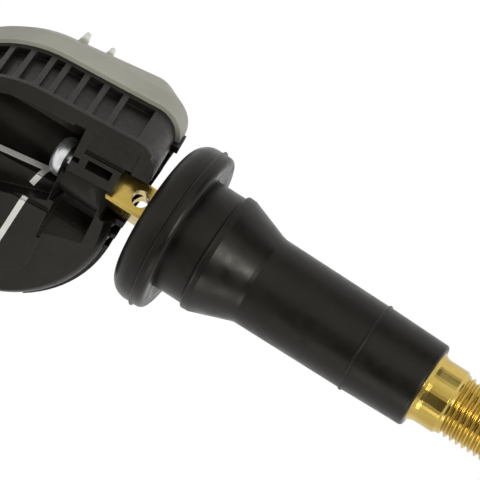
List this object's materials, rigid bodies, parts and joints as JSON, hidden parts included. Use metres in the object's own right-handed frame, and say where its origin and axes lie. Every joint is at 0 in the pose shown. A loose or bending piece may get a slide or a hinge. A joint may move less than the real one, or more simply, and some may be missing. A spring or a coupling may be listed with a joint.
{
  "type": "tyre pressure sensor",
  "caption": "Snap-in rubber tyre valve with a brass stem, screwed to a ribbed round plastic pressure sensor with a pale cover.",
  "frame": {"origin": "centre of the valve on the face of the flange that seals against the wheel", "axes": "+Z along the valve towards its tip, +Y towards the sensor's pale cover, the screwdriver channel open towards -Y"},
  "size_m": [0.0308, 0.025, 0.0806],
  "materials": {
    "rubber": "moulded rubber, satin",
    "brass": "turned brass",
    "core_brass": "turned brass",
    "core_gasket": "thin seal",
    "core_washer": "rubber seal",
    "spring_steel": "drawn wire",
    "screw_steel": "bright plated steel",
    "housing_plastic": "moulded, fine grain",
    "cover_plastic": "moulded, slightly translucent",
    "cell_steel": "bright can",
    "tab_nickel": "strip metal",
    "board": "coated laminate",
    "chip": "moulded case",
    "seal": "soft seal",
    "ferrite": "sintered",
    "winding": "enamelled wire",
    "crystal_can": "metal can",
    "ceramic": "ceramic",
    "antenna_metal": "strip metal"
  },
  "bodies": {
    "sensor": {"rubber_stem": "rubber", "brass_stem": "brass", "core_barrel": "core_brass", "core_gasket": "core_gasket", "core_spring": "spring_steel", "sensor_screw": "screw_steel", "housing": "housing_plastic", "cover": "cover_plastic", "battery": "cell_steel", "battery_tab_lower": "tab_nickel", "battery_tab_upper": "tab_nickel", "circuit_board": "board", "pressure_chip": "chip", "port_seal": "seal", "wake_coil_core": "ferrite", "wake_coil_winding": "winding", "crystal": "crystal_can", "capacitors": "ceramic", "radio_antenna": "antenna_metal"},
    "valve_pin": {"core_pin": "core_brass", "core_washer": "core_washer"}
  },
  "joints": [
    {"name": "valve_pin_press", "type": "slide", "parent": "sensor", "child": "valve_pin", "axis": [0, 0, -1], "range_m": [0, 0.001], "stiffness_N_per_m": 300, "deforming": ["core_spring"]}
  ]
}
